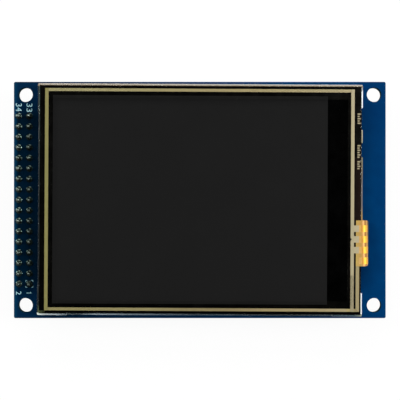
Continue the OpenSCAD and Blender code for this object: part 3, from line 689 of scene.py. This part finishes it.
# %% Dressed solids
finishes = {
    "header_lands": solder_metal, "component_lands": gold_plate, "flex_lands": gold_plate,
    "foam_tapes": black_foam, "reflector_sheet": reflector, "light_guide": light_guide_clear,
    "backlight_leds": led_body, "diffuser_sheet": sheet_white,
    "prism_sheet_lower": sheet_white, "prism_sheet_upper": sheet_white,
    "rim_tape": rim_black, "rear_polariser": rear_film, "array_glass": cell_glass,
    "colour_filter_glass": colour_glass, "front_polariser": screen_film_painted_glow,
    "driver_chip": silicon, "touch_spacer": adhesive_clear,
    "glass_electrodes": glass_ink, "film_electrodes": silver_ink,
    "display_flex_solder": solder_metal, "tail_solder": solder_metal}
for node, material in finishes.items():
    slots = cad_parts[node].data.materials
    slots.clear()
    slots.append(material)
print("solids dressed:", len(finishes))

# %% Rounded copies
SAME_PLACE, SAME_PLANE = 0.0005 * MM, math.radians(1)


def merged_copy(node):
    piece = copy_of(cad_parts[node])
    edit(piece)
    bpy.ops.mesh.remove_doubles(threshold=SAME_PLACE)
    bpy.ops.mesh.dissolve_limited(angle_limit=SAME_PLANE)
    leave_edit()
    return piece


for node, name, slot, material, width in (
        ("pcb", "circuit_board", "solder_mask", board_blue, 0.02),
        ("header_strip", "header_block", "black_nylon", black_nylon, 0.12),
        ("header_pins", "header_posts", "pin_metal", pin_metal, 0.05),
        ("backlight_frame", "display_frame", "white_plastic", frame_white, 0.1),
        ("touch_glass", "touch_glass_sheet", "touch_glass", touch_glass_clear, 0.1),
        ("touch_film", "touch_film_sheet", "touch_film", touch_film_clear, 0.04),
        ("touch_controller_leads", "controller_legs", "tinned_lead", tinned, 0.03),
        ("transistor_leads", "transistor_legs", "tinned_lead", tinned, 0.03),
        ("backlight_transistor", "transistor_body", "mould_resin", mould_resin, 0.06),
        ("resistors", "resistor_bodies", "resistor_body", resistor_black, 0.03),
        ("resistor_ends", "resistor_caps", "tinned_end", tinned, 0.02),
        ("capacitors", "capacitor_bodies", "capacitor_ceramic", ceramic, 0.05),
        ("capacitor_ends", "capacitor_caps", "tinned_end", tinned, 0.02)):
    piece = round_edges(merged_copy(node), width)
    hand_over(piece, name, material)
    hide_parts(node)

# %% [markdown]
# The gasket under the touch screen is pressed flat in the real part and swells out to the edge
# of the glass. A merged copy of it is fattened sideways: its outer walls are selected by their
# normals, and a small stretch about the middle of the display moves them out. Its top sinks by
# a hair, because two faces in one plane would show through each other.

# %% Pressed gasket
SWELL, SINK = 0.12, 0.02
WALL_X, WALL_Y = 37.4 * MM, 26.4 * MM
gasket = merged_copy("touch_gasket")
gasket_low, gasket_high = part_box("touch_gasket")
edit(gasket)
select_where(gasket, "FACE", lambda face: abs(face.normal.z) < 0.5 and (
    abs(face.center.x - display_centre.x) > WALL_X
    or abs(face.center.y - display_centre.y) > WALL_Y)
    and face.normal.dot(face.center - display_centre) > 0)
half = (gasket_high - gasket_low) / 2
bpy.ops.transform.resize(value=(1 + SWELL * MM / half.x, 1 + SWELL * MM / half.y, 1),
                         center_override=display_centre)
select_where(gasket, "FACE", lambda face: face.normal.z > 0.9)
bpy.ops.transform.translate(value=(0, 0, -SINK * MM))
leave_edit()
hand_over(gasket, "pressed_gasket", gasket_black, smooth=0)
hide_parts("touch_gasket")

# %% [markdown]
# The touch controller has a small round dimple over its first lead, which a mould pin leaves.
# The dimple is a short cylinder taken away from the rounded body.

# %% Touch controller with its dimple
DIMPLE_INSET, DIMPLE_RADIUS, DIMPLE_DEPTH = 0.9 * MM, 0.35 * MM, 0.12 * MM
chip = round_edges(merged_copy("touch_controller"), 0.08, 3)
chip_low, chip_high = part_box("touch_controller")
clear_selection()
bpy.ops.mesh.primitive_cylinder_add(
    vertices=32, radius=DIMPLE_RADIUS, depth=2 * DIMPLE_DEPTH,
    location=(chip_low.x + DIMPLE_INSET, chip_high.y - DIMPLE_INSET, chip_low.z))
cutter = round_edges(bpy.context.object, 0.05)
apply_modifier(chip, "BOOLEAN", operation="DIFFERENCE", object=cutter, solver="EXACT")
bpy.data.objects.remove(cutter)
hand_over(chip, "controller_body", mould_resin)
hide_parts("touch_controller")

# %% [markdown]
# ## Solder round the pins
# Molten solder climbs a pin and freezes in a hollow curve. One joint is made by spinning its
# profile right round, then copied to every pin with a slightly different height and turn,
# because no two hand-sized joints are alike. The profile is drawn by pulling out a point.

# %% Solder joints
HEADER_ROWS, PITCH, FIRST_COLUMN, LAND_TOP = 17, 2.54, 1.2, 0.04
FIRST_ROW = -(HEADER_ROWS - 1) / 2 * PITCH
JOINT_PROFILE = [(0.80, 0.0), (0.795, 0.03), (0.76, 0.09), (0.70, 0.12), (0.60, 0.15),
                 (0.53, 0.21), (0.49, 0.34), (0.47, 0.52), (0.42, 0.58), (0.34, 0.58)]
LEAST_HEIGHT = 0.82
pin_columns = [board_low.x / MM + FIRST_COLUMN + i * PITCH for i in (0, 1)]


def pull(places):
    """Draws a line through places in millimetres, and stays in edit mode."""
    clear_selection()
    bpy.ops.mesh.primitive_plane_add(size=0.01 * MM)
    edit(bpy.context.object)
    bpy.ops.mesh.merge(type="CENTER")
    bpy.ops.transform.translate(value=[v * MM for v in places[0]])
    for start, end in zip(places, places[1:]):
        extrude(*(b - a for a, b in zip(start, end)))
    return bpy.context.object


joint = pull([(r, 0, z) for r, z in JOINT_PROFILE])
bpy.ops.mesh.select_all(action="SELECT")
bpy.ops.mesh.spin(steps=24, angle=math.tau, center=(0, 0, 0), axis=(0, 0, 1))
merge_close()
bpy.ops.mesh.select_mode(type="EDGE")
bpy.ops.mesh.select_all(action="DESELECT")
bpy.ops.mesh.select_non_manifold()
bpy.ops.mesh.edge_face_add()
bpy.ops.mesh.select_all(action="SELECT")
bpy.ops.mesh.normals_make_consistent(inside=False)
leave_edit()
print("one joint has faces:", len(joint.data.polygons))

dice = random.Random(7)
joints = []
for column in pin_columns:
    for row in range(HEADER_ROWS):
        copy = copy_of(joint)
        copy.location = (column * MM, (FIRST_ROW + row * PITCH) * MM, board_top + LAND_TOP * MM)
        copy.rotation_euler.z = dice.uniform(0, math.tau)
        copy.scale.z = dice.uniform(LEAST_HEIGHT, 1.0)
        joints.append(apply_place(copy))
bpy.data.objects.remove(joint)
solder_joints = hand_over(join(joints), "solder_joints", solder_metal, smooth=60)
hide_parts("header_solder")

# %% [markdown]
# ## Print on the board
# The header's end pins are numbered in white print, and a square mark with open sides stands
# round the first pin. Print is a thin skin of ink, so text is turned into a mesh, fitted to its
# measured height and width, and given a thickness of fifteen thousandths of a millimetre.

# %% Numbers
INK, STROKE = 0.015, 0.07  # the thickness of print, and half the width of its lines


def box_of(piece):
    columns = list(zip(*(vertex.co for vertex in piece.data.vertices)))
    return [min(column) for column in columns], [max(column) for column in columns]


def number(text, left, right, top, bottom, back=False):
    """A number read from the header's side, between four edges in millimetres."""
    clear_selection()
    bpy.ops.object.text_add()
    piece = pick(bpy.context.object)
    piece.data.body = text
    piece.data.extrude = 0.1
    piece.data.resolution_u = 4
    bpy.ops.object.convert(target="MESH")
    piece = bpy.context.object
    piece.rotation_euler.z = -math.pi / 2
    apply_place(piece)
    if back:
        piece.rotation_euler.x = math.pi
        apply_place(piece)
    wanted = (right - left, top - bottom, INK)
    piece.scale = [length * MM / (b - a) for length, a, b in zip(wanted, *box_of(piece))]
    apply_place(piece)
    corner = (left * MM, bottom * MM, -INK * MM if back else board_top)
    piece.location = [b - a for a, b in zip(box_of(piece)[0], corner)]
    return apply_place(piece)


def bar(x0, y0, x1, y1, low=board_top / MM):
    """A printed line with rounded ends, on a surface at the height `low`."""
    piece = block((x0, y0, low), (x1, y1, low + INK))
    edit(piece)
    select_where(piece, "EDGE", lambda a, b: abs(a.z - b.z) > INK / 2 * MM)
    bpy.ops.mesh.bevel(offset=0.45 * min(x1 - x0, y1 - y0) * MM, segments=3)
    leave_edit()
    return piece


def one(left, right, y, flag, low=board_top / MM):
    """The figure 1, whose stem would be too thick if type were stretched to its width."""
    return join([bar(left, y - STROKE, right, y + STROKE, low),
                 bar(right - 0.32, min(y, y + flag), right - 0.18, max(y, y + flag), low)])


MARK, HALF_LINE, TICK = 0.86, 0.05, 0.36
front_print = [
    number("34", -44.54, -43.09, 23.39, 21.47),
    number("33", -41.95, -40.54, 23.39, 21.33),
    number("2", -44.49, -43.23, -22.08, -22.95),
    one(-41.95, -40.73, -22.52, 0.3)]
for sx in (-1, 1):
    for sy in (-1, 1):
        x, y = pin_columns[1] + sx * MARK, FIRST_ROW + sy * MARK
        x_end, y_end = x - sx * TICK, y - sy * TICK
        front_print += [bar(min(x, x_end), y - HALF_LINE, max(x, x_end), y + HALF_LINE),
                        bar(x - HALF_LINE, min(y, y_end), x + HALF_LINE, max(y, y_end))]
hand_over(join(front_print), "front_print", print_ink, smooth=0)

# %% [markdown]
# A column of short bars stands at the right margin of the touch film, where a maker prints a
# code. They come in three blocks, and every second bar is a little shorter.

# %% Marks on the film
MARK_X, MARK_END, MARK_W, MARK_STEP, SHORTER = 37.25, 38.05, 0.34, 0.54, 0.25
film_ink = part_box("film_electrodes")[0].z / MM + 0.002
marks = []
for top, count in ((20.7, 5), (13.2, 6), (9.4, 4)):
    for i in range(count):
        y = top - i * MARK_STEP
        marks.append(bar(MARK_X, y - MARK_W, MARK_END - SHORTER * (i % 2), y, film_ink))
marks = turn_with_display(join(marks))
hand_over(marks, "margin_marks", margin_ink, smooth=0)

# %% [markdown]
# ## Back of the board
# Under the lacquer on the back, copper tracks run from the header to small plated holes near
# the far end, where they pass through to the display's flex. A track is drawn from corner to
# corner like the profile of a joint, turned into a round wire by way of a curve, and pressed
# flat, so that half of it stands proud of the board as lacquered copper does.

# %% Tracks
TRACK_RISE = 0.01
HEADER_EDGE, TURN, FAN, HOLE_X = -40.2, -38.6, 17.0, 28.4
LANE, LANE_STEP, END, END_STEPS = 10.2, 0.9, 1.0, {-1: 1.75, 1: 1.0}


def track(points, wide=0.3):
    pull([(x, y, 0) for x, y in points])
    leave_edit()
    bpy.ops.object.convert(target="CURVE")
    piece = bpy.context.object
    piece.data.bevel_depth = wide / 2 * MM
    piece.data.bevel_resolution = 1
    piece.data.use_fill_caps = True
    bpy.ops.object.convert(target="MESH")
    piece = bpy.context.object
    piece.scale.z = 2 * TRACK_RISE / wide
    return apply_place(piece)


tracks, holes = [], []
for side in (-1, 1):
    for i in range(8):
        row, lane, end = (i + 1) * PITCH, LANE + LANE_STEP * i, END + END_STEPS[side] * i
        line = [(HEADER_EDGE, row), (TURN, row), (TURN + abs(lane - row), lane), (FAN, lane),
                (FAN + lane - end, end), (HOLE_X, end)]
        tracks.append(track([(x, side * y) for x, y in line]))
        holes.append((HOLE_X, side * end))
for y in (-1.625, -0.325, 0.975, 2.275):
    tracks.append(track([(-29.4, y), (-32.6 + abs(y), y), (-33.2 + abs(y), y + 0.6)]))
    holes.append((-33.2 + abs(y), y + 0.6))
for lead, pad in ((2.275, 3.6), (0.975, 1.2), (-0.975, -1.2), (-2.275, -3.6)):
    slope = abs(pad - lead)
    tracks.append(track([(-22.6, lead), (-21.4, lead), (-21.4 + slope, pad), (-19.0, pad)]))
tracks.append(track([(-17.0, 1.2), (-16.2, 1.2), (-15.2, 0.2), (-14.9, 0.0)]))
tracks.append(track([(-11.6, 0.95), (-9.0, 0.95), (-7.2, -0.85), (10.0, -0.85)], 0.8))
holes += [(10.0, -0.55), (10.0, -1.15), (10.8, -0.85)]
for x in range(-34, 41, 8):
    holes += [(x, 22.6), (x, -22.6)]
print("tracks:", len(tracks), "plated holes:", len(holes))

# %% [markdown]
# A plated hole is a low disc whose middle is inset and pushed in. One is made and copied to
# every place.

# %% Plated holes
clear_selection()
bpy.ops.mesh.primitive_cylinder_add(vertices=20, radius=0.34 * MM, depth=0.03 * MM)
hole = bpy.context.object
edit(hole)
select_where(hole, "FACE", lambda face: face.normal.z < -0.5)
bpy.ops.mesh.inset(thickness=0.12 * MM)
extrude(0, 0, 0.02)
bpy.ops.mesh.inset(thickness=0.05 * MM)
leave_edit()
round_edges(hole, 0.006)
for x, y in holes:
    copy = copy_of(hole)
    copy.location = (x * MM, y * MM, 0)
    tracks.append(apply_place(copy))
bpy.data.objects.remove(hole)
hand_over(join(tracks), "back_tracks", track_blue, smooth=50)

# %% [markdown]
# White outlines show where each part is soldered, and the header's end pins have their numbers
# here too. They are read from the back, so they are turned over.

# %% Print on the back
RESISTOR_PITCH, RESISTOR_SIDE = 2.4, 0.82
CAPACITOR_Y, CAPACITOR_SIDE, CAPACITOR_HALF = 5.83, 0.85, 1.3
back_print = [
    number("33", -42.0, -40.6, 23.4, 22.1, back=True),
    number("34", -44.6, -43.2, 23.4, 22.1, back=True),
    one(-42.0, -40.8, -22.6, -0.35, -INK),
    number("2", -44.4, -43.4, -22.1, -23.2, back=True)]
for x0, y0, x1, y1 in ((-39.9, -21.6, -39.75, 21.6), (-28.2, 2.95, -23.8, 3.1),
                       (-28.2, -3.1, -23.8, -2.95), (-29.3, 2.95, -28.7, 3.1),
                       (-14.1, 1.7, -12.4, 1.85), (-14.1, -1.85, -12.4, -1.7)):
    back_print.append(bar(x0, y0, x1, y1, -INK))
for i in range(8):
    for side in (-1, 1):
        y = (i - 3.5) * RESISTOR_PITCH + side * RESISTOR_SIDE
        back_print.append(bar(-19.3, y - STROKE, -16.7, y + STROKE, -INK))
for x in (-28.4, -26.0, -23.6):
    for y in (-CAPACITOR_Y, CAPACITOR_Y):
        for side in (-1, 1):
            line = x + side * CAPACITOR_SIDE
            back_print.append(bar(line - STROKE, y - CAPACITOR_HALF,
                                  line + STROKE, y + CAPACITOR_HALF, -INK))
hand_over(join(back_print), "back_print", print_ink, smooth=0)

# %% [markdown]
# ## Flexes
# A flex is a thin printed sheet that leaves the edge of its glass, turns half round and comes
# back over the board. It is made that way too: a flat strip is extruded outwards, its end is
# spun through half a turn, and the new end is drawn back. Solidify then gives the sheet its
# thickness towards the inside of the bend, so the outside stays where the solid has it.

# %% Flex sheets
FLEX_T = 0.1


def flex_sheet(solid, x_start, x_bend, middle, wide, back, thick=FLEX_T, lift=0.0, corner=0.0):
    """A bent strip in the display's own plan, at the heights of a solid."""
    bottom, top = (end.z / MM for end in solid)
    radius = (top - bottom) / 2
    clear_selection()
    bpy.ops.mesh.primitive_plane_add(
        size=1, location=((x_start + x_bend) / 2 * MM, middle * MM, (top + lift) * MM))
    piece = bpy.context.object
    piece.scale = ((x_bend - x_start) * MM, wide * MM, 1)
    apply_place(piece)
    edit(piece)
    select_where(piece, "EDGE", lambda a, b: min(a.x, b.x) > (x_bend - 0.001) * MM)
    bpy.ops.mesh.spin(steps=24, angle=math.pi, axis=(0, -1, 0),
                      center=(x_bend * MM, 0, (bottom + radius) * MM))
    extrude(-back, 0, 0)
    merge_close()
    bpy.ops.mesh.normals_make_consistent(inside=False)
    leave_edit()
    if sum(face.normal.x for face in piece.data.polygons) <= 0:
        edit(piece)
        bpy.ops.mesh.flip_normals()
        leave_edit()
    tip, reach = (x_bend + radius + lift) * MM, corner * MM
    for point in piece.data.vertices:
        beyond = point.co.x - (tip - reach)
        if corner and beyond > 0:
            inset = reach - math.sqrt(max(reach ** 2 - beyond ** 2, 0))
            point.co.y -= math.copysign(inset, point.co.y - middle * MM)
    return apply_modifier(piece, "SOLIDIFY", thickness=thick * MM, offset=-1,
                          use_even_offset=True)


touch_box, main_box, tail_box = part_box("touch_flex"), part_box("display_flex"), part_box("led_flex")
print("tops of the flexes, mm:",
      [round(high.z / MM, 2) for low, high in (touch_box, main_box, tail_box)])

# %% [markdown]
# The touch screen's flex shows most: its bend bulges past the end of the display, and four
# printed tracks cross it. Their colour changes round the bend, in bands with a slightly slanted
# and uneven edge: painted highlights on the crest and painted shade on its outer side, over the
# flex's own amber and copper.

# %% Finishes of the touch screen's flex
def banded_with_painted_light(name, points):
    """A finish whose colour changes along the display's X, given in millimetres, with painted
    highlights and shade round a bend.
    """
    material = finish(name, points[0][1], points[0][1], (0.5, 0.62), patches=1200,
                      Specular_IOR_Level=0.2)
    tree, shader, paint = parts_of(material)
    x, y, z = display_axes(tree)
    wobble = add_node(tree, "TexNoise", Scale=450).outputs["Fac"]
    slant = both(tree, maths(tree, "ADD", y, 9 * MM), 0.03)
    uneven = both(tree, maths(tree, "SUBTRACT", wobble, 0.5), 0.5 * MM)
    place = maths(tree, "ADD", maths(tree, "ADD", x, slant), uneven)
    bands = stops(tree, place, points)
    feed(tree, paint, Colour=bands, Second=layer(tree, 0.15, bands, "#3a2a10"))
    return material


# Painted highlights at the crest of the bend and painted shade on its outer side.
flex_gold = banded_with_painted_light("flex_gold", [
    (37.0, "#b99c56"), (38.3, "#b38a45"), (38.6, "#b98743"), (38.85, "#ecb878"),
    (39.1, "#cf9a4e"), (39.3, "#8f6226"), (39.5, "#9a6c30"), (39.75, "#c99a5c"),
    (40.1, "#5a5236"), (40.4, "#3f443a")])
copper_track = banded_with_painted_light("copper_track", [
    (37.0, "#c9aa78"), (38.2, "#c99a52"), (38.55, "#b67c28"), (38.85, "#f2ba48"),
    (39.1, "#ffe04e"), (39.37, "#eec33c"), (39.6, "#d99a30"), (39.85, "#dba850"),
    (40.1, "#6a5526"), (40.4, "#424538")])
print("materials so far:", len(bpy.data.materials))

# %% [markdown]
# The amber sheet takes its heights from the solid. Each track is a narrower bent strip that
# lies a hair above it.

# %% Touch screen's flex
FLEX_X, FLEX_BEND, FLEX_BACK, FLEX_Y, FLEX_W = 37.05, 38.25, 4.0, -10.1, 10.85
TRACK_LIFT, TAB_LAP, TRACK_W = 0.015, 0.71, 1.6
sheet = flex_sheet(touch_box, FLEX_X, FLEX_BEND, FLEX_Y, FLEX_W, FLEX_BACK, corner=0.8)
turn_with_display(sheet)
hand_over(sheet, "touch_flex_sheet", flex_gold)
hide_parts("touch_flex")

tracks = [flex_sheet(touch_box, FLEX_X + TAB_LAP, FLEX_BEND, middle, TRACK_W, FLEX_BACK - 0.05,
                     thick=TRACK_LIFT * 1.2, lift=TRACK_LIFT, corner=0.3)
          for middle in (-14.24, -11.70, -9.16, -6.62)]
tracks = turn_with_display(join(tracks))
hand_over(tracks, "touch_flex_tracks", copper_track)

# %% [markdown]
# The display's own flex leaves lower down and is browner. It carries several dozen fine tracks,
# far too many to model one by one, so the material draws them: a wave across the flex darkens
# the gaps between them.

# %% Display's flex
TRACK_PITCH = 0.65 * MM
main_amber = finish("main_flex_amber", "#7f5a24", "#6b4a1c", (0.4, 0.52), patches=700)
tree, shader, paint = parts_of(main_amber)
x, y, z = axes(tree)
wave = maths(tree, "SINE", both(tree, y, math.tau / TRACK_PITCH))
inked = layer(tree, ramp(tree, wave, -0.1, 0.35), "#4e3412", paint.outputs[0])
# Round the bend the colour is set at seven places along the flex: partly its own amber, partly
# painted reflections and shade.
bend_colour_and_painted_light = stops(tree, y, [
    (-16, "#6b4a1c"), (-6, "#c08f3e"), (-3.6, "#a5853f"), (-1.5, "#6f6a68"), (4, "#6a6460"),
    (8, "#6f6748"), (10.6, "#7c7a58")])
on_bend = past(tree, x, 37.8, 38.3, 0.85)
feed(tree, shader, Base_Color=layer(tree, on_bend, inked, bend_colour_and_painted_light))
main_sheet = flex_sheet(main_box, 36.35, 38.0, -2.6, 26, 7.75)
turn_with_display(main_sheet)
hand_over(main_sheet, "display_flex_sheet", main_amber)
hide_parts("display_flex")

# %% [markdown]
# The tail of the backlight is tan. A flat strip along the whole side carries the diodes, and
# one bent tail leaves it for the board.

# %% Tail of the backlight
STRIP_X, STRIP_Y = (33.75, 36.6), 25.5
tail_top = tail_box[1].z / MM
strip = block((STRIP_X[0], -STRIP_Y, tail_top - FLEX_T), (STRIP_X[1], STRIP_Y, tail_top))
tail = flex_sheet(tail_box, 36.5, 38.54, 15.5, 3.1, 3.8)
tail = turn_with_display(join([strip, tail]))
hand_over(tail, "backlight_tail", tail_tan)
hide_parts("led_flex")

# %% [markdown]
# A strip of thin black tape covers the ledge with the driver chip, so nothing bright shows
# through the clear margin of the touch screen. Where it crosses the flex, a little brown
# shows through. Between its ends it reaches further out, over the display's flex.

# %% Tape over the ledge
TAPE_X, TAPE_Y, TAPE_T, TAPE_REACH = (34.02, 38.1), 26.4, 0.05, 0.47
tree, shader, paint = parts_of(ledge_black)
x, y, z = axes(tree)
over_flex = both(tree, past(tree, y, -16.2, -15.4), short_of(tree, y, 10, 10.8))
tint = both(tree, over_flex, past(tree, x, 36.2, 37.2))
feed(tree, shader, Base_Color=layer(tree, tint, paint.outputs[0], "#231814"))
tape_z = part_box("driver_chip")[1].z / MM + 0.02
tape = block((TAPE_X[0], -TAPE_Y, tape_z), (TAPE_X[1], TAPE_Y, tape_z + TAPE_T))
for y in (-22.0, 21.7):
    edit(tape)
    bpy.ops.mesh.bisect(plane_co=(0, y * MM, 0), plane_no=(0, 1, 0))
    leave_edit()
edit(tape)
select_where(tape, "FACE", lambda face: face.normal.x > 0.5 and abs(face.center.y) < 10 * MM)
extrude(TAPE_REACH, 0, 0)
leave_edit()
tape = turn_with_display(round_edges(tape, 0.02))
hand_over(tape, "ledge_tape", ledge_black)
